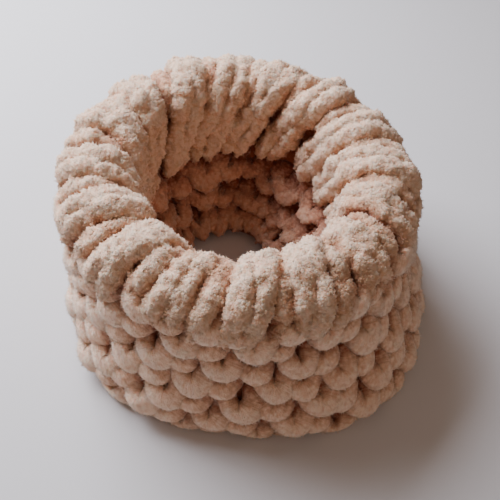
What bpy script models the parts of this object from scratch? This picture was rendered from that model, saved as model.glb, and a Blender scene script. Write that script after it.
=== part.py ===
"""Chunky neck warmer, hand-knitted in the round with two strands of chenille yarn held together.

The tube is folded in half along its length, so that it stands by itself: an outer layer that shows the
purl side in rows of scale-like loops, a rolled fold that shows pairs of long strands, and an inner layer
that shows the knit side in columns of stacked loops. The two layers spread apart towards the floor.

Heights and distances along the fabric are in millimetres until a point is placed, and azimuths are in
degrees from the front (-Y) towards the right (+X).
"""

import math

import bpy
import numpy as np
from mathutils import Matrix

OBJECT_NAME = "Neck_warmer"

MM = 0.001
STITCHES = 16
STITCH_ANGLE = 360 / STITCHES
OUTER_FACETS = 160
INNER_FACETS = 128
SEAM_GAP = 0.3

# How thick the strands are with their pile: half their width along the fabric and half their height off
# it, and the share of both that is left at a loop's ends.
SCALE_YARN = (7.0, 6.4)
RIM_YARN = (7.6, 8.6)
INNER_YARN = (7.0, 7.0)
END_SHARE = 0.68
RECESS_DEPTH = 5.5

# The surface through the middle of the yarn, from the floor outside, over the fold, to the floor inside.
# Columns: station, radius, height.
SECTION = (
    ("outer_hem", 135.0, 0.0),
    ("lower_bulge", 143.0, 14.0),
    ("lower_wall", 139.0, 40.0),
    ("waist", 131.5, 66.0),
    ("shoulder", 128.5, 88.0),
    ("outer_seam", 127.5, 106.0),
    ("rim_shoulder", 125.5, 119.0),
    ("rim_outside", 117.5, 130.5),
    ("crest", 99.0, 136.5),
    ("rim_inside", 85.0, 130.0),
    ("rim_lip", 79.5, 113.0),
    ("inner_seam", 76.0, 83.5),
    ("inner_wall", 64.0, 45.0),
    ("inner_hem", 41.0, 0.0),
)
STATION = {name: (radius, height) for name, radius, height in SECTION}
CURVE_POINTS = 1200
CURVE_SHARES = 40

# The layers' plain sides: where they meet under the fold, and how far apart they stand on the floor.
FOLD_RADIUS = 102.0
FOLD_HEIGHT = 97.0
OUTER_BACK_RADIUS = 114.0
INNER_BACK_RADIUS = 62.0

# Towards the floor the layers stand off the middle to opposite sides, and the outer one grows squarer.
OUTER_LEAN = (16.0, -3.4)
INNER_LEAN = (-10.0, 12.0)
SQUARENESS = 0.036

# The fold stands highest at the back on the left.
RISE = 0.075
RISE_AZIMUTH = -155.0

# The rows of scales: distance of the first row's holes along the section, then from row to row, and the
# azimuth of a hole and its drift from row to row.
SCALE_ROWS = 7
FIRST_SCALE_ROW = 132.0
SCALE_ROW_STEP = 18.4
SCALE_AZIMUTH = -3.4
SCALE_ROW_DRIFT = 1.6

# The two nested loops of a scale. Columns: middle, half width, ends below the hole, foot below the hole,
# and how far the loop is sunk.
SCALE_LOOPS = (
    (0.0, 11.5, -2.0, 18.5, 1.4),
    (18.0, 9.5, 1.0, 21.0, 3.8),
)

# Every loop is drawn with this many points, and swells from its sunk ends to its raised foot. Its width is
# turned into an angle at the reference radius, and a lower rounding makes its foot broader.
LOOP_POINTS = 15
LOOP_END_LIFT = -6.5
LOOP_SWELL = 9.4
OUTER_REFERENCE = 135.0
INNER_REFERENCE = 66.0
SCALE_ROUNDING = 0.8
INNER_ROUNDING = 0.5

# The pairs of strands over the fold. Columns: distance along the section, turn of the pair, half the
# distance between its strands, and lift. The first row is the outer end and the last the foot inside.
RIM_AZIMUTH = SCALE_AZIMUTH + STITCH_ANGLE / 2
RIM_PATH = (
    (111.0, -5.2, 7.0, -6.0),
    (117.0, -4.6, 7.6, -3.0),
    (127.0, -3.4, 7.8, -2.2),
    (140.0, -1.8, 7.6, -2.8),
    (158.0, 0.0, 7.2, -3.4),
    (172.0, 2.8, 6.8, -3.2),
    (186.0, 7.5, 6.6, -2.4),
    (202.0, 13.5, 7.0, -1.4),
    (212.0, 17.2, 6.6, -0.8),
    (218.5, 19.4, 4.6, -0.6),
    (221.0, 20.2, 0.6, -1.0),
)
RIM_POINTS = 40

# The single strands that lie sunk between the pairs on the outside. Columns: distance along the section,
# turn and lift.
VALLEY_PATH = (
    (106.0, 5.0, -6.5),
    (116.0, 6.2, -4.6),
    (128.0, 7.6, -4.8),
    (145.0, 9.6, -5.8),
    (168.0, 12.6, -8.0),
)
VALLEY_POINTS = 20

# The stacked loops inside: where the first row's feet lie, then from row to row, and their drift.
INNER_ROWS = 3
FIRST_INNER_ROW = 243.0
INNER_ROW_STEP = 24.5
INNER_ROW_TURN = 21.5
INNER_ROW_DRIFT = 3.0

# The two nested loops of a stitch inside. Columns: middle, half width, ends and foot below the row of
# feet, and how far the loop is sunk.
INNER_LOOPS = (
    (-3.0, 8.0, -22.0, 3.0, 0.6),
    (9.0, 7.0, -20.0, -1.0, 3.0),
)

# The grid of raised points: rings line up with the rows of stitches, and facets with their middles.
RINGS_PER_SCALE_ROW = 4
RINGS_PER_INNER_ROW = 4
RIM_RINGS = 13
LEAST_RING_GAP = 2.0
FACET_AZIMUTH = 7.7
SOFTENING = 1.0
HEM_FADE = 9.0

# How unlike each other the hand-made stitches are: degrees, then millimetres.
UNEVEN_TURN = 1.3
UNEVEN_ALONG = 1.2
UNEVEN_LIFT = 0.7
SEED = 7

YARN_COLOUR = (0.62, 0.44, 0.35, 1.0)
YARN_ROUGHNESS = 0.95


def clear_scene():
    for thing in list(bpy.data.objects):
        bpy.data.objects.remove(thing, do_unlink=True)


def smooth_curve(points, count):
    """A Catmull-Rom curve through the points, as count points at even distances."""
    points = np.asarray(points, float)
    padded = np.vstack([2 * points[0] - points[1], points, 2 * points[-1] - points[-2]])
    share = np.linspace(0, 1, CURVE_SHARES, endpoint=False)[:, None]
    pieces = []
    for a, b, c, d in zip(padded, padded[1:], padded[2:], padded[3:]):
        pieces.append(
            0.5
            * (
                2 * b
                + (c - a) * share
                + (2 * a - 5 * b + 4 * c - d) * share**2
                + (3 * b - a - 3 * c + d) * share**3
            )
        )
    curve = np.vstack([*pieces, points[-1:]])
    along = np.concatenate([[0], np.cumsum(np.linalg.norm(np.diff(curve, axis=0), axis=1))])
    wanted = np.linspace(0, along[-1], count)
    return np.stack([np.interp(wanted, along, column) for column in curve.T], axis=1)


def section_tables():
    """The section as even points, the distance along it, and the distance of each named station."""
    curve = smooth_curve(list(STATION.values()), CURVE_POINTS)
    along = np.concatenate([[0], np.cumsum(np.linalg.norm(np.diff(curve, axis=0), axis=1))])
    places = {}
    for name, (radius, height) in STATION.items():
        nearest = np.hypot(curve[:, 0] - radius, curve[:, 1] - height).argmin()
        places[name] = along[nearest]
    return curve, along, places


CURVE, ALONG, PLACE = section_tables()


def core_point(along):
    """Radius and height of the yarn's middle surface."""
    return np.interp(along, ALONG, CURVE[:, 0]), np.interp(along, ALONG, CURVE[:, 1])


def outward(along):
    """The direction in which the yarn rises: away from the fold's middle on the rim, and level below."""
    radius, height = core_point(along)
    across, up = radius - FOLD_RADIUS, height - FOLD_HEIGHT
    below = {"outer_seam": along < PLACE["outer_seam"], "inner_seam": along > PLACE["inner_seam"]}
    for seam, (seam_radius, seam_height) in STATION.items():
        if below.get(seam, False):
            across = seam_radius - FOLD_RADIUS
            up = (seam_height - FOLD_HEIGHT) * (height / seam_height) ** 2
    return across / math.hypot(across, up), up / math.hypot(across, up)


def place(azimuth, radius, height, inside=False):
    """A point in metres, with the lean and squareness of its layer at that height.

    The fold and the inner layer are inside: they stay upright down to the inner seam.
    """
    upright, leaning = (STATION["inner_seam"][1], INNER_LEAN) if inside else (FOLD_HEIGHT, OUTER_LEAN)
    share = np.clip(1 - height / upright, 0, 1)
    turn = np.radians(azimuth)
    squareness = 0.0 if inside else SQUARENESS
    spread = radius * (1 - squareness * np.cos(4 * turn) * share)
    x = spread * np.sin(turn) + leaning[0] * share
    y = leaning[1] * share - spread * np.cos(turn)
    z = height * (1 + RISE * (1 + np.cos(turn - math.radians(RISE_AZIMUTH))) / 2)
    return np.stack(np.broadcast_arrays(x, y, z), axis=-1) * MM


def loop_path(azimuth, along, loop, direction, reference, rounding, yarn):
    """One hanging loop as rows of azimuth, distance along, lift, and the yarn's half width and height.

    Along the section, down is -1 on the outside and 1 on the inside.
    """
    middle, half_width, ends, foot, sunk = loop
    half_thick, half_high = yarn
    swing = np.sin(np.linspace(0, math.pi, LOOP_POINTS)).clip(0)
    across = middle - half_width * np.cos(np.linspace(0, math.pi, LOOP_POINTS))
    down = ends + (foot - ends) * swing**rounding
    slim = END_SHARE + (1 - END_SHARE) * swing
    return np.stack(
        [
            azimuth + np.degrees(across / reference),
            along + direction * down,
            LOOP_END_LIFT + LOOP_SWELL * swing - sunk,
            half_thick * slim,
            half_high * slim,
        ],
        axis=1,
    )


def scale_paths(uneven):
    """The purl side: rows of scales, each of two nested loops, every row half a stitch on."""
    paths = []
    for row in range(SCALE_ROWS):
        for stitch in range(STITCHES):
            turn, along, lift = uneven.uniform(-1, 1, 3)
            azimuth = SCALE_AZIMUTH + row * (STITCH_ANGLE / 2 + SCALE_ROW_DRIFT) + stitch * STITCH_ANGLE
            azimuth += turn * UNEVEN_TURN
            hole = FIRST_SCALE_ROW - row * SCALE_ROW_STEP + along * UNEVEN_ALONG
            for loop in SCALE_LOOPS:
                path = loop_path(azimuth, hole, loop, -1, OUTER_REFERENCE, SCALE_ROUNDING, SCALE_YARN)
                path[:, 2] += lift * UNEVEN_LIFT
                paths.append(path)
    return paths


def inner_paths(uneven):
    """The knit side: columns of stacked loops below the feet of the rim's pairs."""
    paths = []
    for row in range(INNER_ROWS):
        for stitch in range(STITCHES):
            turn, along, lift = uneven.uniform(-1, 1, 3)
            azimuth = RIM_AZIMUTH + INNER_ROW_TURN + row * INNER_ROW_DRIFT + stitch * STITCH_ANGLE
            azimuth += turn * UNEVEN_TURN
            feet = FIRST_INNER_ROW + row * INNER_ROW_STEP + along * UNEVEN_ALONG
            for loop in INNER_LOOPS:
                path = loop_path(azimuth, feet, loop, 1, INNER_REFERENCE, INNER_ROUNDING, INNER_YARN)
                path[:, 2] += lift * UNEVEN_LIFT
                paths.append(path)
    return paths


def long_strand(azimuth, along, lift):
    """A strand over the fold, in the same rows as a loop."""
    half_thick, half_high = RIM_YARN
    return np.stack(
        [azimuth, along, lift, np.full_like(along, half_thick), np.full_like(along, half_high)], axis=1
    )


def rim_paths(uneven):
    """The fold: pairs of long strands from the outside over the crest to the foot of a loop inside.

    A single strand lies lower between two pairs, on the outside.
    """
    pair_along, pair_turn, half_apart, pair_lift = smooth_curve(RIM_PATH, RIM_POINTS).T
    valley_along, valley_turn, valley_lift = smooth_curve(VALLEY_PATH, VALLEY_POINTS).T
    radius, _ = core_point(pair_along)
    paths = []
    for stitch in range(STITCHES):
        turn, lift = uneven.uniform(-1, 1, 2)
        azimuth = RIM_AZIMUTH + stitch * STITCH_ANGLE + turn * UNEVEN_TURN
        for side in (-1, 1):
            end = uneven.uniform(-1, 1) * UNEVEN_ALONG
            apart = side * np.degrees(half_apart / radius)
            paths.append(
                long_strand(azimuth + pair_turn + apart, pair_along + end, pair_lift + lift * UNEVEN_LIFT)
            )
        paths.append(long_strand(azimuth + valley_turn, valley_along, valley_lift))
    return paths


def facet_turn(along):
    """How far the rings of facets are turned at a distance along the section, to follow the stitches."""
    turns = np.array([row[:2] for row in RIM_PATH])
    start, end = turns[0], turns[-1]
    if along < start[0]:
        return start[1] + (start[0] - along) / SCALE_ROW_STEP * SCALE_ROW_DRIFT
    if along > end[0]:
        return end[1] + (along - end[0]) / INNER_ROW_STEP * INNER_ROW_DRIFT
    return np.interp(along, turns[:, 0], turns[:, 1])


def facet_azimuths(along, facets):
    return FACET_AZIMUTH + np.arange(facets) * 360 / facets + facet_turn(along)


def relief(azimuth, along, yarn):
    """How far the fabric stands out from the yarn's middle surface: the rounded outline of the yarn."""
    radius, height = core_point(along)
    total = 0.0
    offsets = ((0, 0), (-SOFTENING, 0), (SOFTENING, 0), (0, -SOFTENING), (0, SOFTENING))
    for side, rise in offsets:
        across = np.radians((azimuth[:, None] - yarn[None, :, 0] + 180) % 360 - 180) * radius + side
        away = across**2 + (along + rise - yarn[None, :, 1]) ** 2
        lift, half_thick, half_high = yarn[None, :, 2], yarn[None, :, 3], yarn[None, :, 4]
        top = lift + half_high * (1 - away / half_thick**2)
        total = total + np.maximum(top.max(axis=1), -RECESS_DEPTH)
    fade = np.clip(height / HEM_FADE, 0, 1)
    return total / len(offsets) * fade


def relief_ring(along, yarn, facets, inside=False):
    """One ring of raised points."""
    azimuths = facet_azimuths(along, facets)
    radius, height = core_point(along)
    rise = relief(azimuths, along, yarn)
    across, up = outward(along)
    return place(azimuths, radius + across * rise, np.maximum(height + up * rise, 0.0), inside)


def plain_ring(radius, height, along, facets, inside=False):
    """One plain ring, turned as the raised ring at a distance along the section is."""
    azimuths = facet_azimuths(along, facets)
    return place(azimuths, radius, np.full_like(azimuths, height), inside)


def aligned_stations(first_row, step, start, end):
    """Distances along the section from start to end, in line with the rows of stitches."""
    between = np.arange(start + (first_row - start) % step, end, step)
    between = between[(between > start + LEAST_RING_GAP) & (between < end - LEAST_RING_GAP)]
    return (start, *between, end)


def yarn_material(name):
    material = bpy.data.materials.new(name)
    material.use_nodes = True
    shader = material.node_tree.nodes["Principled BSDF"]
    shader.inputs["Base Color"].default_value = YARN_COLOUR
    shader.inputs["Roughness"].default_value = YARN_ROUGHNESS
    shader.inputs["Metallic"].default_value = 0.0
    return material


def loft(name, rings, collection):
    """A closed ring body through rings of points, its section running anticlockwise in (radius, height)."""
    count = len(rings[0])
    points = np.vstack(rings)
    faces = []
    for ring in range(len(rings)):
        following = (ring + 1) % len(rings)
        for facet in range(count):
            beside = (facet + 1) % count
            faces.append(
                (
                    ring * count + facet,
                    ring * count + beside,
                    following * count + beside,
                    following * count + facet,
                )
            )
    mesh = bpy.data.meshes.new(name)
    mesh.from_pydata(points.tolist(), [], faces)
    mesh.update()
    mesh.shade_smooth()
    mesh.materials.append(yarn_material(name + "_yarn"))
    body = bpy.data.objects.new(name, mesh)
    collection.objects.link(body)
    return body


def centre(bodies):
    """Move the meshes so that the middle of their box is over the origin."""
    points = np.array([vertex.co for body in bodies for vertex in body.data.vertices])
    middle = (points.min(axis=0) + points.max(axis=0)) / 2
    for body in bodies:
        body.data.transform(Matrix.Translation((-middle[0], -middle[1], 0.0)))
        body.data.update()


def outer_layer(yarn, collection):
    """The outer layer: raised outside from the hem to the seam, plain inside."""
    seam = PLACE["outer_seam"]
    step = SCALE_ROW_STEP / RINGS_PER_SCALE_ROW
    stations = aligned_stations(FIRST_SCALE_ROW, step, 0.0, seam)
    rings = [relief_ring(along, yarn, OUTER_FACETS) for along in stations]
    rings.append(plain_ring(FOLD_RADIUS + SEAM_GAP, FOLD_HEIGHT, seam, OUTER_FACETS))
    rings.append(plain_ring(OUTER_BACK_RADIUS, 0, 0, OUTER_FACETS))
    return loft("outer_layer", rings, collection)


def rolled_rim(yarn, collection):
    """The fold: raised all over the top, and plain below, where it sits on both layers."""
    outer_seam, inner_seam = PLACE["outer_seam"], PLACE["inner_seam"]
    seam_radius, seam_height = STATION["outer_seam"]
    run = seam_radius - FOLD_RADIUS
    gap = SEAM_GAP * math.hypot(run, seam_height - FOLD_HEIGHT) / run
    stations = np.linspace(outer_seam, inner_seam, RIM_RINGS)
    rings = [relief_ring(along, yarn, OUTER_FACETS, inside=True) for along in stations]
    for ring in (rings[0], rings[-1]):
        ring[:, 2] += gap * MM
    rings.append(plain_ring(FOLD_RADIUS, FOLD_HEIGHT + gap, outer_seam, OUTER_FACETS, inside=True))
    return loft("rolled_rim", rings, collection)


def inner_layer(yarn, collection):
    """The inner layer: raised towards the hollow, plain behind, leaning a little to one side."""
    seam, hem = PLACE["inner_seam"], ALONG[-1]
    step = INNER_ROW_STEP / RINGS_PER_INNER_ROW
    stations = aligned_stations(FIRST_INNER_ROW, step, seam, hem)
    rings = [relief_ring(along, yarn, INNER_FACETS, inside=True) for along in stations]
    rings.append(plain_ring(INNER_BACK_RADIUS, 0, hem, INNER_FACETS, inside=True))
    rings.append(plain_ring(FOLD_RADIUS - SEAM_GAP, FOLD_HEIGHT, seam, INNER_FACETS, inside=True))
    return loft("inner_layer", rings, collection)


def main():
    clear_scene()
    collection = bpy.data.collections.new(OBJECT_NAME)
    bpy.context.scene.collection.children.link(collection)
    uneven = np.random.default_rng(SEED)
    yarn = np.vstack([*scale_paths(uneven), *rim_paths(uneven), *inner_paths(uneven)])
    centre([make(yarn, collection) for make in (outer_layer, rolled_rim, inner_layer)])


main()
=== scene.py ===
import math

import bpy
import numpy as np
from bpy.props import FloatProperty, FloatVectorProperty, IntProperty, PointerProperty
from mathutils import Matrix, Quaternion, Vector


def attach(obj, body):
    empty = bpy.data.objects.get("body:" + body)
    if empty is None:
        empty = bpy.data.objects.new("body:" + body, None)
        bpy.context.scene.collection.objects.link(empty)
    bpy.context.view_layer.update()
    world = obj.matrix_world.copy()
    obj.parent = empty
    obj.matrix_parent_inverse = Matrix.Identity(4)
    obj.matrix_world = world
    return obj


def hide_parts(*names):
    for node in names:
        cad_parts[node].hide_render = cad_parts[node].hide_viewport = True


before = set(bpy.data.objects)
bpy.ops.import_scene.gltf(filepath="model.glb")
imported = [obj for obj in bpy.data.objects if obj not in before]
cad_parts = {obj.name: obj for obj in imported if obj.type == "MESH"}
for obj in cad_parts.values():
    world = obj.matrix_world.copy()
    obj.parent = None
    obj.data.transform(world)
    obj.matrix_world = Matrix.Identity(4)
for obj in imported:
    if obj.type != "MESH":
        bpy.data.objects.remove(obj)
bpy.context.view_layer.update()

bl_info = {
    "name": "Chunky Neck Warmer",
    "version": (1, 0, 0),
    "blender": (4, 5, 0),
    "location": "3D View > Sidebar > Neck Warmer",
    "description": "Builds a hand-knitted neck warmer of doubled chenille yarn",
    "category": "Add Mesh",
}

# Lengths are in millimetres until a point is placed, and azimuths in degrees from the front (-Y)
# towards the right (+X). "Along" is the distance along the cloth from the outer edge on the floor,
# over the fold and down to the inner edge.
MM = 0.001

# The surface through the middle of the yarn. Columns: station, radius and height. The curve through
# the stations is worked out in CURVE_SHARES steps from each to the next, and kept as CURVE_POINTS.
SECTION = (
    ("outer_hem", 135.0, 0.0),
    ("lower_bulge", 143.0, 14.0),
    ("lower_wall", 139.0, 40.0),
    ("waist", 131.5, 66.0),
    ("shoulder", 128.5, 88.0),
    ("outer_seam", 127.5, 106.0),
    ("rim_shoulder", 125.5, 119.0),
    ("rim_outside", 117.5, 130.5),
    ("crest", 99.0, 136.5),
    ("rim_inside", 85.0, 130.0),
    ("rim_lip", 79.5, 113.0),
    ("inner_seam", 76.0, 83.5),
    ("inner_wall", 64.0, 45.0),
    ("inner_hem", 41.0, 0.0),
)
STATION = {name: (radius, height) for name, radius, height in SECTION}
CURVE_POINTS = 1200
CURVE_SHARES = 40
FEWEST_POINTS = 6

# The strands over the fold stand off a ring inside it.
FOLD_RADIUS = 102.0
FOLD_HEIGHT = 97.0

# Towards the floor each layer leans to the right and to the back by so much, and the outer one gets
# squarer. The back left is taller by a share of RISE. MIDDLE brings the whole's middle to the origin.
OUTER_LEAN = (16.0, -3.4)
INNER_LEAN = (-10.0, 12.0)
SQUARENESS = 0.036
RISE = 0.075
RISE_AZIMUTH = -155.0
MIDDLE = (12.104, -2.602)

STITCHES = 16
STITCH_ANGLE = 360 / STITCHES

# The purl side: where the first row's holes lie, from row to row, and a scale's two nested loops.
# Columns: middle, half width, ends below the hole, foot below the hole, and how far it is sunk.
# FLATNESS is a strand's thickness off the cloth over its width. The loops are drawn flat, and
# REFERENCE is the radius at which they keep their width when they are laid round.
SCALE_ROWS = 7
FIRST_SCALE_ROW = 132.0
SCALE_ROW_STEP = 18.4
SCALE_AZIMUTH = -3.4
SCALE_ROW_DRIFT = 1.6
FRONT_LOOP = (0.0, 9.8, -2.0, 18.5, 1.4)
BACK_LOOP = (18.0, 9.5, 1.0, 21.0, 3.8)
SCALE_FLATNESS = 0.69
OUTER_REFERENCE = 135.0

# The fold's pairs of strands. Columns: along, turn, half the distance between the two, and lift.
RIM_AZIMUTH = SCALE_AZIMUTH + STITCH_ANGLE / 2
RIM_PATH = (
    (108.0, -5.6, 4.6, -8.0),
    (116.0, -4.8, 5.4, -4.4),
    (127.0, -3.4, 5.8, -2.2),
    (140.0, -1.8, 5.9, -2.0),
    (158.0, 0.0, 5.7, -2.0),
    (172.0, 2.8, 5.6, -2.0),
    (186.0, 7.5, 5.6, -1.8),
    (204.0, 13.9, 6.0, -1.4),
    (216.0, 18.0, 5.8, -0.8),
    (223.0, 20.4, 4.4, -0.6),
    (226.0, 21.4, 0.6, -1.0),
)

# The single strands that lie sunk between the pairs, on the outside. Columns: along, turn and lift.
VALLEY_PATH = (
    (106.0, 5.0, -6.5),
    (116.0, 6.2, -4.6),
    (132.0, 8.0, -4.6),
    (156.0, 11.0, -5.2),
    (178.0, 14.8, -7.6),
)
RIM_STEPS = 36
VALLEY_STEPS = 20
RIM_WOBBLE = 1.6

# The knit side: the first row's feet, from row to row, and a stitch's two nested loops. The columns
# are those of the purl side, but the ends and the foot are measured down from the row's feet.
INNER_ROWS = 3
FIRST_INNER_ROW = 247.0
INNER_ROW_STEP = 24.5
INNER_ROW_TURN = 21.5
INNER_ROW_DRIFT = 3.0
INNER_LOOPS = ((-3.0, 9.0, -20.0, 3.0, 0.4), (10.0, 7.5, -18.0, -1.0, 3.0))
INNER_FLATNESS = 0.85
INNER_REFERENCE = 66.0

# A loop's ends lie under the row above, and its middle stands up by LOOP_SWELL more. The lower the
# rounding is, the squarer the loop is.
LOOP_END_LIFT = -6.5
LOOP_SWELL = 9.4
LOOP_STEPS = 15
SCALE_ROUNDING = 0.8
INNER_ROUNDING = 0.5

# How far the hand-knitted stitches stray at most: TURN in degrees round, SLIP and HEAVE in millimetres
# along the cloth and off it, and WIDENING and DEEPENING as shares of a loop's width and depth.
SCALE_TURN, SCALE_SLIP, SCALE_HEAVE, SCALE_WIDENING, SCALE_DEEPENING = 1.3, 1.4, 0.9, 0.14, 0.08
RIM_TURN, RIM_SLIP, RIM_HEAVE, RIM_STRAND_HEAVE = 1.3, 2.0, 2.4, 0.8
INNER_TURN, INNER_SLIP, INNER_HEAVE, INNER_WIDENING = 4.5, 6.0, 2.8, 0.3

# A strand is a tube of rings with so many sides. It is END_SHARE thick at its ends, thickens over the
# length of its taper, and swells and thins by up to YARN_SWELLING between KNOTS places along it. The
# inside's yarn is thinner than the outside's. STRAND_OFFSET sets one strand's fibres apart from the next.
RING_SPACING = 1.8
FRONT_SIDES, BACK_SIDES, RIM_SIDES, INNER_SIDES = 22, 18, 22, 16
END_SHARE = 0.82
LOOP_TAPER = 26.0
RIM_TAPER = 34.0
YARN_SWELLING = 0.14
KNOTS = 9
INNER_YARN_SHARE = 0.89
STRAND_OFFSET = 300.0
MERGE_DISTANCE = 0.01

# What makes the yarn lumpy. Columns: kind of pattern, size of a grain, depth and middle level. The
# lumps are then smoothed.
SCALE_LUMPS = (("CLOUDS", 16.0, 3.4, 0.5), ("CLOUDS", 6.0, 2.0, 0.5))
RIM_LUMPS = (("CLOUDS", 20.0, 4.4, 0.5), ("VORONOI", 8.5, -5.4, 0.4), ("VORONOI", 5.0, -2.4, 0.4))
SMOOTH_FACTOR = 0.5
SMOOTH_ROUNDS = 2

# The thin cloth behind the strands, GROUND_LIFT off the middle of the yarn. A point's height over it
# counts as 0 at LOW_YARN and as 1 at HIGH_YARN. The materials paint shade where it is low and light
# where it is high.
GROUND_LIFT = -7.5
GROUND_RINGS = 48
GROUND_FACETS = 96
LOW_YARN = 1.5
HIGH_YARN = 11.5

# The pile of each piece. Columns: its yarn, the end of its name, its tuft, how many a square metre,
# what their size is multiplied by, how far they lean in radians, the share of the yarn's own shading
# that they take, and the solid that the piece stands for. Pile grows where the yarn's height is over
# BARE_HEIGHT, and in full over FULL_HEIGHT, because less of it shows in the gaps. A tuft's middle stands
# TUFT_STANDING of its length over the yarn. Each is SMALLEST to LARGEST times its size and turned by up
# to FULL_TURN radians.
PILE = (
    ("outer_scales", "_nap", "fine_tuft", 290000, 0.95, 0.9, 0.35, "outer_layer"),
    ("outer_scale_backs", "_nap", "fine_tuft", 205000, 0.95, 0.9, 0.35, "outer_layer"),
    ("rim_pairs", "_knobs", "knob_of_pile", 190000, 1.0, 0.4, 0.6, "rolled_rim"),
    ("rim_pairs", "_nap", "fine_tuft", 155000, 1.2, 0.8, 0.4, "rolled_rim"),
    ("inner_loops", "_knobs", "knob_of_pile", 110000, 1.0, 0.4, 0.6, "inner_layer"),
)
TUFT_SIDES = 3
KNOB_SIDES = 5
TUFT_STANDING = 0.35
BARE_HEIGHT, FULL_HEIGHT = 0.1, 0.45
SMALLEST, LARGEST = 0.6, 1.25
FULL_TURN = 6.28

# The pattern in the pile. Clumps of it are about 3.4 mm across and single tufts about 0.9 mm. The
# fibres lie across the strand, in bundles that are 1.1 mm apart along it and change over 9 mm.
CLUMP_SIZE = 3.4
TUFT_SIZE = 0.9
BUNDLE_SPACING = 1.1
BUNDLE_LENGTH = 9.0

# How the pattern shows. A clump's colour strays by its mottle between the two CLUMP_EDGES, and that of
# tufts and fibres by NAP_SHADE between the two NAP_EDGES. The three colours stand at their heights: the
# gap colour is painted shade low down, and the tip colour painted light at the top. The relief is
# PILE_RELIEF deep, with clumps CLUMP_RELIEF times their mottle, and light goes LIGHT_DEPTH in.
CLUMP_EDGES = (0.1, 0.7)
OUTSIDE_MOTTLE, RIM_MOTTLE, INSIDE_MOTTLE = 0.16, 0.18, 0.18
NAP_EDGES = (0.7, 1.3)
NAP_SHADE = 0.12
GAP_AT, YARN_AT, TIP_AT = 0.05, 0.75, 1.0
CLUMP_RELIEF = -4
PILE_RELIEF = 0.9
LIGHT_DEPTH = 3.0

# The stage, in metres and watts. Columns of the lights: name, place, size, power and colour.
FLOOR_SIZE = 6
FLOOR_COLOUR = "#C9C7C8"
DAYLIGHT_COLOUR = "#F2D6C2"
DAYLIGHT_STRENGTH = 0.24
LIGHTS = (
    ("window", (-0.59, 0.43, 0.72), 0.8, 33.0, "#F2F5FF"),
    ("room", (0.5, -0.9, 0.9), 1.2, 2.0, "#FFE2CC"),
)
LIGHTS_AIM = (0, 0, 0.06)

# The camera, fitted to the outline in the photograph: degrees and metres, with the frame's width and
# the nearest that shows, and the lens as so many widths of the frame.
CAMERA_ELEVATION = 50.1
CAMERA_ROLL = 5.12
CAMERA_DISTANCE = 0.538
CAMERA_AIM = (-0.0006, -0.0181, 0.070)
FRAME_WIDTH_MM = 36
LENS_IN_FRAMES = 700 / 500
NEAREST = 0.01


def smooth_curve(points, count=None, spacing=None):
    """A Catmull-Rom curve through the points at even distances: count of them, or one every spacing."""
    points = np.asarray(points, float)
    padded = np.vstack([2 * points[0] - points[1], points, 2 * points[-1] - points[-2]])
    share = np.linspace(0, 1, CURVE_SHARES, endpoint=False)[:, None]
    runs = []
    for a, b, c, d in zip(padded, padded[1:], padded[2:], padded[3:]):
        run = 2 * b + (c - a) * share
        run = run + (2 * a - 5 * b + 4 * c - d) * share**2 + (3 * b - a - 3 * c + d) * share**3
        runs.append(run / 2)
    curve = np.vstack([*runs, points[-1:]])
    along = np.concatenate([[0], np.cumsum(np.linalg.norm(np.diff(curve[:, :3], axis=0), axis=1))])
    if count is None:
        count = max(FEWEST_POINTS, int(along[-1] / spacing))
    wanted = np.linspace(0, along[-1], count)
    return np.stack([np.interp(wanted, along, column) for column in curve.T], axis=1)


def section_tables():
    """The section as a fine curve, the distances along it, and how far along it each station lies."""
    curve = smooth_curve(list(STATION.values()), count=CURVE_POINTS)
    along = np.concatenate([[0], np.cumsum(np.linalg.norm(np.diff(curve, axis=0), axis=1))])
    places = {}
    for name, (radius, height) in STATION.items():
        places[name] = along[np.hypot(curve[:, 0] - radius, curve[:, 1] - height).argmin()]
    return curve, along, places


CURVE, ALONG, PLACE = section_tables()


def core_radius(along):
    """The radius of the yarn's middle surface."""
    return np.interp(along, ALONG, CURVE[:, 0])


def in_space(azimuth, along, lift):
    """The point in millimetres at a lift above the yarn's middle surface."""
    azimuth, along, lift = (np.asarray(value, float) for value in (azimuth, along, lift))
    radius = core_radius(along)
    height = np.interp(along, ALONG, CURVE[:, 1])
    across, up = radius - FOLD_RADIUS, height - FOLD_HEIGHT
    # Over the fold a lift points away from the ring inside it, and below a seam it turns level.
    outside, inside = along < PLACE["outer_seam"], along > PLACE["inner_seam"]
    for seam, beyond in (("outer_seam", outside), ("inner_seam", inside)):
        seam_radius, seam_height = STATION[seam]
        across = np.where(beyond, seam_radius - FOLD_RADIUS, across)
        level = np.clip(height / seam_height, 0, 1) ** 2
        up = np.where(beyond, (seam_height - FOLD_HEIGHT) * level, up)
    length = np.hypot(across, up)
    radius = radius + lift * across / length
    height = height + lift * up / length
    share = np.clip(1 - height / np.where(outside, FOLD_HEIGHT, STATION["inner_seam"][1]), 0, 1)
    turn = np.radians(azimuth)
    radius = radius * (1 - np.where(outside, SQUARENESS, 0) * np.cos(4 * turn) * share)
    x = radius * np.sin(turn) + np.where(outside, OUTER_LEAN[0], INNER_LEAN[0]) * share - MIDDLE[0]
    y = np.where(outside, OUTER_LEAN[1], INNER_LEAN[1]) * share - radius * np.cos(turn) - MIDDLE[1]
    z = height * (1 + RISE * (1 + np.cos(turn - math.radians(RISE_AZIMUTH))) / 2)
    return np.stack(np.broadcast_arrays(x, y, z), axis=-1)


def loop_strand(azimuth, along, loop, lift, reference, rounding):
    """The middle line of one hanging loop, on the cloth laid flat: round it, along it and off it."""
    middle, half_width, top, foot, sunk = loop
    swing = np.linspace(0, math.pi, LOOP_STEPS)
    across = math.radians(azimuth) * reference + middle - half_width * np.cos(swing)
    down = top + (foot - top) * np.sin(swing).clip(0) ** rounding
    height = LOOP_END_LIFT + LOOP_SWELL * np.sin(swing) - sunk + lift
    return np.stack([across, along + down, height], axis=1)


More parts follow.
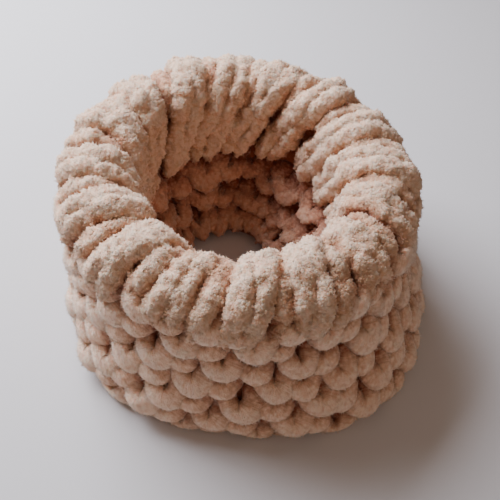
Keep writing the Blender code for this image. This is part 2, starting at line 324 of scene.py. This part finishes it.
def scale_strands(loop, uneven):
    """The purl side: every scale's front or back loop, each row half a stitch on from the last."""
    middle, half_width, top, foot, sunk = loop
    strands = []
    for row in range(SCALE_ROWS):
        for stitch in range(STITCHES):
            turn, along, lift, width, depth = uneven.uniform(-1, 1, 5)
            azimuth = SCALE_AZIMUTH + row * (STITCH_ANGLE / 2 + SCALE_ROW_DRIFT) + stitch * STITCH_ANGLE
            half = half_width * (1 + SCALE_WIDENING * width)
            shape = (middle, half, -top, -foot * (1 + SCALE_DEEPENING * depth), sunk)
            hole = FIRST_SCALE_ROW - row * SCALE_ROW_STEP + along * SCALE_SLIP
            azimuth += turn * SCALE_TURN
            strands.append(
                loop_strand(azimuth, hole, shape, lift * SCALE_HEAVE, OUTER_REFERENCE, SCALE_ROUNDING)
            )
    return strands


def wavy(uneven, count):
    """A smooth run of count values that goes through KNOTS random ones between -1 and 1."""
    run = smooth_curve(np.column_stack([np.arange(KNOTS), uneven.uniform(-1, 1, KNOTS)]), count=count)
    return run[:, 1]


def rim_strands(uneven):
    """The fold: pairs of long strands from the outside over the crest to a loop's foot inside."""
    table = smooth_curve(RIM_PATH, count=RIM_STEPS)
    radius = core_radius(table[:, 0])
    strands = []
    for stitch in range(STITCHES):
        turn, lift = uneven.uniform(-1, 1, 2)
        for side in (-1, 1):
            end, own_lift = uneven.uniform(-1, 1, 2)
            apart = side * table[:, 2] + RIM_WOBBLE * wavy(uneven, len(table))
            azimuth = RIM_AZIMUTH + stitch * STITCH_ANGLE + turn * RIM_TURN
            azimuth = azimuth + table[:, 1] + np.degrees(apart / radius)
            lifts = table[:, 3] + RIM_HEAVE * lift + RIM_STRAND_HEAVE * own_lift
            lifts = lifts + RIM_WOBBLE * wavy(uneven, len(table))
            strands.append(in_space(azimuth, table[:, 0] + end * RIM_SLIP, lifts))
        along, own_turn, lifts = smooth_curve(VALLEY_PATH, count=VALLEY_STEPS).T
        azimuth = RIM_AZIMUTH + stitch * STITCH_ANGLE + turn * RIM_TURN + own_turn
        lifts = lifts + RIM_WOBBLE * wavy(uneven, len(lifts))
        strands.append(in_space(azimuth, along, lifts))
    return strands


def inner_strands(uneven):
    """The knit side: columns of stacked double loops below the feet of the rim's pairs."""
    strands = []
    for row in range(INNER_ROWS):
        for stitch in range(STITCHES):
            azimuth = RIM_AZIMUTH + INNER_ROW_TURN + row * INNER_ROW_DRIFT + stitch * STITCH_ANGLE
            for loop in INNER_LOOPS:
                middle, half_width, top, foot, sunk = loop
                turn, along, lift, width = uneven.uniform(-1, 1, 4)
                shape = (middle, half_width * (1 + INNER_WIDENING * width), top, foot, sunk)
                feet = FIRST_INNER_ROW + row * INNER_ROW_STEP + along * INNER_SLIP
                place = azimuth + turn * INNER_TURN
                strands.append(
                    loop_strand(place, feet, shape, lift * INNER_HEAVE, INNER_REFERENCE, INNER_ROUNDING)
                )
    return strands


def linear(hex_colour):
    """An sRGB hex colour as linear red, green, blue and alpha."""
    parts = [int(hex_colour[i : i + 2], 16) / 255 for i in (1, 3, 5)]
    return (*((p / 12.92 if p <= 0.04045 else ((p + 0.055) / 1.055) ** 2.4) for p in parts), 1.0)


def add_node(tree, kind, inputs=None, **settings):
    """A new node with its settings; an input is a value, or a socket to link from."""
    node = tree.nodes.new(kind)
    for name, value in settings.items():
        setattr(node, name, value)
    for name, value in (inputs or {}).items():
        if isinstance(value, bpy.types.NodeSocket):
            tree.links.new(value, node.inputs[name])
        else:
            node.inputs[name].default_value = value
    return node


def colour_property(name, description, hex_colour):
    """A colour in the panel, with an sRGB hex colour as its default."""
    return FloatVectorProperty(
        name=name, description=description, default=linear(hex_colour), size=4, min=0.0, max=1.0,
        subtype="COLOR",
    )


class NeckWarmerSettings(bpy.types.PropertyGroup):
    """The sizes and colours of the neck warmer."""

    yarn_thickness: FloatProperty(
        name="Yarn thickness", description="Thickness of a strand without its pile",
        default=18.2 * MM, min=0.004, max=0.03, unit="LENGTH",
    )
    rim_yarn_thickness: FloatProperty(
        name="Rim yarn thickness", description="Thickness of the looser strands over the fold",
        default=19.2 * MM, min=0.004, max=0.03, unit="LENGTH",
    )
    pile_length: FloatProperty(
        name="Pile length", description="Length of the chenille's tufts",
        default=2.6 * MM, min=0.0005, max=0.006, unit="LENGTH",
    )
    pile_thickness: FloatProperty(
        name="Tuft thickness", description="Thickness of one tuft of pile at its root",
        default=0.65 * MM, min=0.0002, max=0.003, unit="LENGTH",
    )
    knob_length: FloatProperty(
        name="Knob length", description="How far a knob of matted pile stands up",
        default=1.85 * MM, min=0.0005, max=0.006, unit="LENGTH",
    )
    knob_thickness: FloatProperty(
        name="Knob thickness", description="Thickness of a knob of matted pile",
        default=3.4 * MM, min=0.0005, max=0.006, unit="LENGTH",
    )
    cloth_thickness: FloatProperty(
        name="Cloth thickness", description="Thickness of the ground behind the strands",
        default=2.0 * MM, min=0.0005, max=0.005, unit="LENGTH",
    )
    # Each part has its own colour, a gap colour that is painted shade low between the strands, and a tip
    # colour that is painted light where the yarn stands highest.
    outside_colour: colour_property("Outside", "The yarn on the outside", "#DDB498")
    outside_painted_gap_shade: colour_property("Outside gaps", "Deep between the outside's strands", "#8A4A2F")
    outside_painted_tip_light: colour_property("Outside tips", "Where the outside stands highest", "#ECCDB6")
    rim_colour: colour_property("Rim", "The yarn over the fold", "#D3A688")
    rim_painted_gap_shade: colour_property("Rim gaps", "Deep between the strands over the fold", "#84452B")
    rim_painted_tip_light: colour_property("Rim tips", "Where the yarn over the fold stands highest", "#E1BDA4")
    # The inside's colours are darker and warmer than the outside's: painted shade for the deep hollow.
    inside_shaded_colour: colour_property("Inside", "The yarn on the inside", "#BD8A70")
    inside_painted_gap_shade: colour_property("Inside gaps", "Deep between the inside's strands", "#6C3626")
    inside_shaded_tip_light: colour_property("Inside tips", "Where the inside stands highest", "#CB9F86")
    sheen_colour: colour_property("Sheen", "The pile's sheen at glancing angles", "#F4E6DA")
    seed: IntProperty(name="Seed", description="Seed for the stitches' unevenness", default=11, min=0)


def settings():
    """The settings as the panel shows them."""
    return bpy.context.scene.neck_warmer


def deselect():
    """Deselect everything, because an operator acts on all that is selected."""
    bpy.ops.object.select_all(action="DESELECT")


def make_active(piece):
    """Select this piece alone."""
    deselect()
    bpy.context.view_layer.objects.active = piece
    piece.select_set(True)


def apply_modifier(piece, kind, **values):
    """Add a modifier to the piece, set it and apply it."""
    make_active(piece)
    bpy.ops.object.modifier_add(type=kind)
    modifier = piece.modifiers[-1]
    for name, value in values.items():
        setattr(modifier, name, value)
    bpy.ops.object.modifier_apply(modifier=modifier.name)
    return piece


def merge_doubles(piece, recalculate=False):
    """Merge the points that lie on each other, and turn all faces outwards if asked."""
    make_active(piece)
    bpy.ops.object.mode_set(mode="EDIT")
    bpy.ops.mesh.select_all(action="SELECT")
    bpy.ops.mesh.remove_doubles(threshold=MERGE_DISTANCE * MM)
    if recalculate:
        bpy.ops.mesh.normals_make_consistent(inside=False)
    bpy.ops.object.mode_set(mode="OBJECT")


def get_points(piece):
    """The piece's points as rows of x, y and z in metres."""
    points = np.empty(len(piece.data.vertices) * 3, np.float32)
    piece.data.vertices.foreach_get("co", points)
    return points.reshape(-1, 3)


def set_points(piece, points):
    """Move the piece's points to these rows of x, y and z in metres."""
    piece.data.vertices.foreach_set("co", points.ravel())
    piece.data.update()


def flatten_underside(piece):
    """Raise what is below the floor to it, so that the cloth rests flat."""
    points = get_points(piece)
    points[:, 2] = points[:, 2].clip(0.0)
    set_points(piece, points)


def wrap_round(piece, reference, flatness):
    """Lay what was modelled flat on the cloth's form: x runs round it, y along it and z off it."""
    points = get_points(piece) / MM
    azimuth = np.degrees(points[:, 0] / reference)
    set_points(piece, in_space(azimuth, points[:, 1], points[:, 2] * flatness) * MM)


def lumpy_tubes(name, strands, thickness, sides, taper, lumps, uneven):
    """Strands of yarn as one mesh of closed tubes, slimmer at their ends and lumpy all over.

    A curve's tube has 4 sides and 2 more for each step of its bevel resolution.
    """
    curve = bpy.data.curves.new(name, "CURVE")
    curve.dimensions = "3D"
    curve.bevel_depth = thickness / 2
    curve.bevel_resolution = (sides - 4) // 2
    curve.use_fill_caps = True
    along_strand = []
    for number, strand in enumerate(strands):
        points = smooth_curve(strand, spacing=RING_SPACING)
        from_end = np.minimum(np.arange(len(points)), np.arange(len(points))[::-1]) * RING_SPACING
        plump = END_SHARE + (1 - END_SHARE) * np.sin(np.clip(from_end / taper, 0, 1) * math.pi / 2)
        plump = plump * (1 + YARN_SWELLING * wavy(uneven, len(points)))
        spline = curve.splines.new("POLY")
        spline.points.add(len(points) - 1)
        spline.points.foreach_set("co", np.column_stack([points * MM, np.ones(len(points))]).ravel())
        spline.points.foreach_set("radius", plump)
        # Each cap has points of its own in its ring's places, and they are merged with them below.
        rings_and_caps = [*range(len(points)), 0, len(points) - 1]
        along_strand.append(np.repeat(rings_and_caps, sides) * RING_SPACING + number * STRAND_OFFSET)
    piece = bpy.data.objects.new(name, curve)
    bpy.context.scene.collection.objects.link(piece)
    make_active(piece)
    bpy.ops.object.convert(target="MESH")
    piece = bpy.context.view_layer.objects.active
    bpy.ops.object.shade_smooth()
    along = piece.data.attributes.new("along_strand", "FLOAT", "POINT")
    along.data.foreach_set("value", np.concatenate(along_strand).astype(np.float32))
    merge_doubles(piece)
    for kind, grain, depth, middle in lumps:
        pattern = bpy.data.textures.new("yarn_" + kind.lower(), kind)
        pattern.noise_scale = grain * MM
        apply_modifier(
            piece, "DISPLACE", texture=pattern, texture_coords="LOCAL", strength=depth * MM,
            mid_level=middle,
        )
    return apply_modifier(piece, "SMOOTH", factor=SMOOTH_FACTOR, iterations=SMOOTH_ROUNDS)


def modifier_tree(name):
    """A new tree of geometry nodes that takes and gives a mesh, and the socket of what it takes."""
    tree = bpy.data.node_groups.new(name, "GeometryNodeTree")
    for way in ("INPUT", "OUTPUT"):
        tree.interface.new_socket("Geometry", in_out=way, socket_type="NodeSocketGeometry")
    return tree, add_node(tree, "NodeGroupInput").outputs["Geometry"]


def height_group(ground):
    """Geometry nodes that store how high every point stands above the ground, 0 to 1."""
    tree, yarn = modifier_tree("height_over_ground")
    cloth = add_node(tree, "GeometryNodeObjectInfo", {"Object": ground})
    near = add_node(tree, "GeometryNodeProximity", {"Geometry": cloth.outputs["Geometry"]})
    height = add_node(
        tree, "ShaderNodeMapRange",
        {"Value": near.outputs["Distance"], "From Min": LOW_YARN * MM, "From Max": HIGH_YARN * MM},
    )
    stored = add_node(
        tree, "GeometryNodeStoreNamedAttribute",
        {"Geometry": yarn, "Name": "height", "Value": height.outputs["Result"]},
        data_type="FLOAT", domain="POINT",
    )
    add_node(tree, "NodeGroupOutput", {"Geometry": stored.outputs["Geometry"]})
    return tree


def make_tuft(name, sides, thickness, length):
    """One tuft of pile that stands on the yarn, with its open root a little below the surface."""
    deselect()
    bpy.ops.mesh.primitive_cone_add(
        vertices=sides, radius1=thickness / 2, depth=length, end_fill_type="NOTHING",
        location=(0, 0, length * TUFT_STANDING),
    )
    bpy.ops.object.transform_apply(location=True)
    bpy.ops.object.shade_smooth()
    tuft = bpy.context.view_layer.objects.active
    tuft.name = name
    return tuft


def pile_group(tuft, density, scale, lean, seed):
    """Geometry nodes that grow tufts on the side of the yarn that shows."""
    tree, yarn = modifier_tree("pile")
    height = add_node(tree, "GeometryNodeInputNamedAttribute", {"Name": "height"}, data_type="FLOAT")
    thick = add_node(
        tree, "ShaderNodeMapRange",
        {
            "Value": height.outputs["Attribute"], "From Min": BARE_HEIGHT, "From Max": FULL_HEIGHT,
            "To Max": density,
        },
    )
    spread = add_node(
        tree, "GeometryNodeDistributePointsOnFaces",
        {"Mesh": yarn, "Density": thick.outputs["Result"], "Seed": seed},
    )
    shape = add_node(tree, "GeometryNodeObjectInfo", {"Object": tuft})
    tilt = add_node(
        tree, "FunctionNodeRandomValue",
        {"Min": (-lean, -lean, 0.0), "Max": (lean, lean, FULL_TURN), "Seed": seed + 1},
        data_type="FLOAT_VECTOR",
    )
    size = add_node(
        tree, "FunctionNodeRandomValue",
        {"Min": SMALLEST * scale, "Max": LARGEST * scale, "Seed": seed + 2}, data_type="FLOAT",
    )
    turned = add_node(
        tree, "FunctionNodeRotateRotation",
        {"Rotation": spread.outputs["Rotation"], "Rotate By": tilt.outputs["Value"]},
        rotation_space="LOCAL",
    )
    grown = add_node(
        tree, "GeometryNodeInstanceOnPoints",
        {
            "Points": spread.outputs["Points"], "Instance": shape.outputs["Geometry"],
            "Rotation": turned.outputs["Rotation"], "Scale": size.outputs[1],
        },
    )
    real = add_node(tree, "GeometryNodeRealizeInstances", {"Geometry": grown.outputs["Instances"]})
    add_node(tree, "NodeGroupOutput", {"Geometry": real.outputs["Geometry"]})
    return tree


def chenille(name, light, gap_shade, tip_light, mottle):
    """Polyester chenille, a core thread with cut pile twisted into it, brushed into a velvety nap.

    The nap is matt with a pale sheen at glancing angles, and light that goes into it comes out
    beside, warmer. Its colour is painted darker and redder low in the gaps between stitches, as painted
    shade, and paler where it stands highest, as painted light. The real fibres are too fine to show, so
    they are drawn as bundles. Mottle is how far clumps of pile stray from their colour.
    """
    material = bpy.data.materials.new(name)
    material.use_nodes = True
    tree = material.node_tree
    tree.nodes.clear()
    place = add_node(tree, "ShaderNodeTexCoord").outputs["Object"]
    height = add_node(tree, "ShaderNodeAttribute", attribute_name="height").outputs["Fac"]
    along = add_node(tree, "ShaderNodeAttribute", attribute_name="along_strand").outputs["Fac"]
    clumps = add_node(
        tree, "ShaderNodeTexVoronoi", {"Vector": place, "Scale": 1 / (CLUMP_SIZE * MM), "Smoothness": 0.6},
        feature="SMOOTH_F1",
    )
    tufts = add_node(
        tree, "ShaderNodeTexNoise", {"Vector": place, "Scale": 1 / (TUFT_SIZE * MM), "Detail": 2.0},
    )
    slow = add_node(
        tree, "ShaderNodeVectorMath", {0: place, "Scale": 1 / (BUNDLE_LENGTH * MM)}, operation="SCALE",
    )
    quick = add_node(tree, "ShaderNodeMath", {0: along, 1: 1 / BUNDLE_SPACING}, operation="MULTIPLY")
    across = add_node(tree, "ShaderNodeCombineXYZ", {"X": quick.outputs["Value"]})
    streaks = add_node(
        tree, "ShaderNodeVectorMath", {0: slow.outputs["Vector"], 1: across.outputs["Vector"]},
        operation="ADD",
    )
    fibres = add_node(
        tree, "ShaderNodeTexNoise", {"Vector": streaks.outputs["Vector"], "Scale": 1.0, "Detail": 1.0},
    )
    spread = add_node(
        tree, "ShaderNodeMapRange",
        {
            "Value": clumps.outputs["Distance"], "From Min": CLUMP_EDGES[0], "From Max": CLUMP_EDGES[1],
            "To Min": mottle, "To Max": -mottle,
        },
    )
    raised = add_node(tree, "ShaderNodeMath", {0: height, 1: spread.outputs["Result"]}, operation="ADD")
    nap = add_node(
        tree, "ShaderNodeMath", {0: tufts.outputs["Fac"], 1: fibres.outputs["Fac"]}, operation="ADD",
    )
    rough = add_node(
        tree, "ShaderNodeMapRange",
        {
            "Value": nap.outputs["Value"], "From Min": NAP_EDGES[0], "From Max": NAP_EDGES[1],
            "To Min": -NAP_SHADE, "To Max": NAP_SHADE,
        },
    )
    shade = add_node(
        tree, "ShaderNodeMath", {0: raised.outputs["Value"], 1: rough.outputs["Result"]}, operation="ADD",
    )
    # Painted shade and light: the gap colour low between the strands, the yarn's colour in the middle, and
    # the paler tip colour where the yarn stands highest.
    ramp = add_node(tree, "ShaderNodeValToRGB", {"Fac": shade.outputs["Value"]})
    colours = ramp.color_ramp.elements
    colours[0].position, colours[0].color = GAP_AT, gap_shade
    colours[1].position, colours[1].color = TIP_AT, tip_light
    middle = colours.new(YARN_AT)
    middle.color = light
    depth = add_node(
        tree, "ShaderNodeMath",
        {0: clumps.outputs["Distance"], 1: CLUMP_RELIEF * mottle, 2: nap.outputs["Value"]},
        operation="MULTIPLY_ADD",
    )
    bump = add_node(
        tree, "ShaderNodeBump",
        {"Height": depth.outputs["Value"], "Strength": 0.75, "Distance": PILE_RELIEF * MM},
    )
    shader = add_node(
        tree, "ShaderNodeBsdfPrincipled",
        {
            "Base Color": ramp.outputs["Color"], "Roughness": 0.95, "IOR": 1.45,
            "Specular IOR Level": 0.15, "Sheen Weight": 0.35, "Sheen Roughness": 0.45,
            "Sheen Tint": settings().sheen_colour, "Normal": bump.outputs["Normal"],
            "Subsurface Weight": 0.45, "Subsurface Radius": (1.0, 0.5, 0.35),
            "Subsurface Scale": LIGHT_DEPTH * MM,
        },
    )
    add_node(tree, "ShaderNodeOutputMaterial", {"Surface": shader.outputs["BSDF"]})
    return material


def dress(piece, material, *nodes):
    """Give a finished piece its material and its body, and hide the solids that it stands for."""
    piece.data.materials.clear()
    piece.data.materials.append(bpy.data.materials[material])
    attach(piece, "root")
    if nodes:
        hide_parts(*nodes)
    return piece


class MakeMaterials(bpy.types.Operator):
    """Make the yarn's materials"""

    bl_idname = "neck_warmer.materials"
    bl_label = "Yarn Materials"

    def execute(self, context):
        now = settings()
        outside = (now.outside_colour, now.outside_painted_gap_shade, now.outside_painted_tip_light)
        rim = (now.rim_colour, now.rim_painted_gap_shade, now.rim_painted_tip_light)
        inside = (now.inside_shaded_colour, now.inside_painted_gap_shade, now.inside_shaded_tip_light)
        # Chenille, knitted and brushed: an even velvety nap on the strands of the outside.
        chenille("brushed_chenille", *outside, OUTSIDE_MOTTLE)
        # The same yarn, rubbed and bent open over the fold: its pile is matted into knobs.
        chenille("knobbly_chenille", *rim, RIM_MOTTLE)
        # The same yarn on the inside, with all three colours darker and warmer: painted shade for the
        # hollow.
        chenille("inner_chenille", *inside, INSIDE_MOTTLE)
        return {"FINISHED"}


class MakeGround(bpy.types.Operator):
    """Make the closed thin cloth that lies behind the strands, folded over the top"""

    bl_idname = "neck_warmer.ground"
    bl_label = "Cloth Ground"

    def execute(self, context):
        # A flat grid of one metre is laid round the form: its x becomes along and its y azimuth.
        along = np.linspace(0, ALONG[-1], GROUND_RINGS)
        bpy.ops.mesh.primitive_grid_add(
            x_subdivisions=GROUND_RINGS - 1, y_subdivisions=GROUND_FACETS, size=1,
        )
        ground = context.view_layer.objects.active
        ground.name = "cloth_ground"
        points = get_points(ground)
        ring = np.rint((points[:, 0] + 0.5) * (GROUND_RINGS - 1)).astype(int)
        azimuth = (points[:, 1] + 0.5) * 360
        set_points(ground, in_space(azimuth, along[ring], np.full(len(ring), GROUND_LIFT)) * MM)
        merge_doubles(ground, recalculate=True)
        bpy.ops.object.shade_smooth()
        apply_modifier(ground, "SOLIDIFY", thickness=settings().cloth_thickness, offset=0.0)
        flatten_underside(ground)
        ground.data.name = ground.name
        dress(ground, "brushed_chenille", "outer_layer", "rolled_rim", "inner_layer")
        return {"FINISHED"}


class MakeStrands(bpy.types.Operator):
    """Knit the strands: scales outside, twisted pairs over the fold and stacked loops inside"""

    bl_idname = "neck_warmer.strands"
    bl_label = "Knitted Strands"

    def execute(self, context):
        uneven = np.random.default_rng(settings().seed)
        yarn, rim_yarn = settings().yarn_thickness, settings().rim_yarn_thickness
        outer = (yarn, LOOP_TAPER, SCALE_LUMPS, OUTER_REFERENCE, SCALE_FLATNESS, "outer_layer")
        inner_yarn = yarn * INNER_YARN_SHARE
        inner = (inner_yarn, LOOP_TAPER, RIM_LUMPS, INNER_REFERENCE, INNER_FLATNESS, "inner_layer")
        # The strands over the fold are drawn in place and round, and the others flat.
        rim = (rim_yarn, RIM_TAPER, RIM_LUMPS, None, 1.0, "rolled_rim")
        kinds = (
            ("outer_scales", "brushed_chenille", scale_strands(FRONT_LOOP, uneven), FRONT_SIDES, *outer),
            ("outer_scale_backs", "brushed_chenille", scale_strands(BACK_LOOP, uneven), BACK_SIDES, *outer),
            ("rim_pairs", "knobbly_chenille", rim_strands(uneven), RIM_SIDES, *rim),
            ("inner_loops", "inner_chenille", inner_strands(uneven), INNER_SIDES, *inner),
        )
        ground = bpy.data.objects["cloth_ground"]
        for name, finish, strands, sides, thickness, taper, lumps, reference, flatness, node in kinds:
            strands = [strand / (1, 1, flatness) for strand in strands]
            piece = lumpy_tubes(name, strands, thickness, sides, taper, lumps, uneven)
            if reference:
                wrap_round(piece, reference, flatness)
            flatten_underside(piece)
            apply_modifier(piece, "NODES", node_group=height_group(ground))
            dress(piece, finish, node)
        return {"FINISHED"}


class MakePile(bpy.types.Operator):
    """Grow the chenille's tufts on every strand"""

    bl_idname = "neck_warmer.pile"
    bl_label = "Chenille Pile"

    def execute(self, context):
        sizes = {
            "fine_tuft": (TUFT_SIDES, settings().pile_thickness, settings().pile_length),
            "knob_of_pile": (KNOB_SIDES, settings().knob_thickness, settings().knob_length),
        }
        tufts = {name: make_tuft(name, *size) for name, size in sizes.items()}
        for seed, (name, end, tuft, density, scale, lean, blend, node) in enumerate(PILE):
            yarn = bpy.data.objects[name]
            make_active(yarn)
            bpy.ops.object.duplicate()
            pile = context.view_layer.objects.active
            pile.name = name + end
            pile.data.name = pile.name
            apply_modifier(pile, "NODES", node_group=pile_group(tufts[tuft], density, scale, lean, seed))
            # The tufts are shaded partly like the yarn that they grow on, as a fine nap is.
            apply_modifier(
                pile, "DATA_TRANSFER", object=yarn, use_loop_data=True,
                data_types_loops={"CUSTOM_NORMAL"}, loop_mapping="POLYINTERP_NEAREST", mix_factor=blend,
            )
            flatten_underside(pile)
            dress(pile, yarn.data.materials[0].name, node)
        for tuft in tufts.values():
            bpy.data.objects.remove(tuft)
        return {"FINISHED"}


class DeclareCloth(bpy.types.Operator):
    """Makes nothing: the cloth's flat size is only given in the comment inside"""

    bl_idname = "neck_warmer.cloth"
    bl_label = "Flat Size"

    def execute(self, context):
        # One tube, 0.66 m round and 0.31 m from edge to edge before it is folded over.
        return {"FINISHED"}


class MakeStage(bpy.types.Operator):
    """Set the floor, the soft window light and the camera"""

    bl_idname = "neck_warmer.stage"
    bl_label = "Stage"

    def execute(self, context):
        deselect()
        bpy.ops.mesh.primitive_plane_add(size=FLOOR_SIZE)
        floor = context.view_layer.objects.active
        floor.name = "floor"
        # A painted matt board: pale and without a gloss, so that only the yarn has colour.
        material = bpy.data.materials.new("pale_floor")
        material.use_nodes = True
        shader = material.node_tree.nodes["Principled BSDF"]
        shader.inputs["Base Color"].default_value = linear(FLOOR_COLOUR)
        shader.inputs["Roughness"].default_value = 0.9
        floor.data.materials.append(material)

        world = bpy.data.worlds.new("soft_daylight")
        context.scene.world = world
        world.use_nodes = True
        background = world.node_tree.nodes["Background"]
        background.inputs["Color"].default_value = linear(DAYLIGHT_COLOUR)
        background.inputs["Strength"].default_value = DAYLIGHT_STRENGTH

        for name, place, size, power, colour in LIGHTS:
            bpy.ops.object.light_add(type="AREA", location=place)
            light = context.view_layer.objects.active
            light.name = name
            light.data.energy = power
            light.data.size = size
            light.data.color = linear(colour)[:3]
            aim = Vector(LIGHTS_AIM) - Vector(place)
            light.rotation_euler = aim.to_track_quat("-Z", "Y").to_euler()

        elevation, roll = math.radians(CAMERA_ELEVATION), math.radians(CAMERA_ROLL)
        away = Vector((0, -math.cos(elevation), math.sin(elevation)))
        bpy.ops.object.camera_add(location=Vector(CAMERA_AIM) + away * CAMERA_DISTANCE)
        camera = context.view_layer.objects.active
        camera.rotation_mode = "QUATERNION"
        camera.rotation_quaternion = (-away).to_track_quat("-Z", "Y") @ Quaternion((0, 0, 1), roll)
        camera.data.sensor_width = FRAME_WIDTH_MM
        camera.data.lens = LENS_IN_FRAMES * camera.data.sensor_width
        camera.data.clip_start = NEAREST
        context.scene.camera = camera
        return {"FINISHED"}


class NeckWarmerPanel(bpy.types.Panel):
    """Lists the neck warmer's settings and its makers"""

    bl_idname = "VIEW3D_PT_neck_warmer"
    bl_label = "Neck Warmer"
    bl_space_type = "VIEW_3D"
    bl_region_type = "UI"
    bl_category = "Neck Warmer"

    def draw(self, context):
        for name in NeckWarmerSettings.__annotations__:
            self.layout.prop(context.scene.neck_warmer, name)
        for operator in OPERATORS:
            self.layout.operator(operator.bl_idname)


OPERATORS = (MakeMaterials, MakeGround, MakeStrands, MakePile, DeclareCloth, MakeStage)


def register():
    bpy.utils.register_class(NeckWarmerSettings)
    bpy.types.Scene.neck_warmer = PointerProperty(type=NeckWarmerSettings)
    for operator in OPERATORS:
        bpy.utils.register_class(operator)
    bpy.utils.register_class(NeckWarmerPanel)


def unregister():
    bpy.utils.unregister_class(NeckWarmerPanel)
    for operator in reversed(OPERATORS):
        bpy.utils.unregister_class(operator)
    del bpy.types.Scene.neck_warmer
    bpy.utils.unregister_class(NeckWarmerSettings)


def main():
    """Make the whole neck warmer."""
    register()
    deselect()
    for operator in OPERATORS:
        group, name = operator.bl_idname.split(".")
        getattr(getattr(bpy.ops, group), name)()


if __name__ == "__main__":
    main()
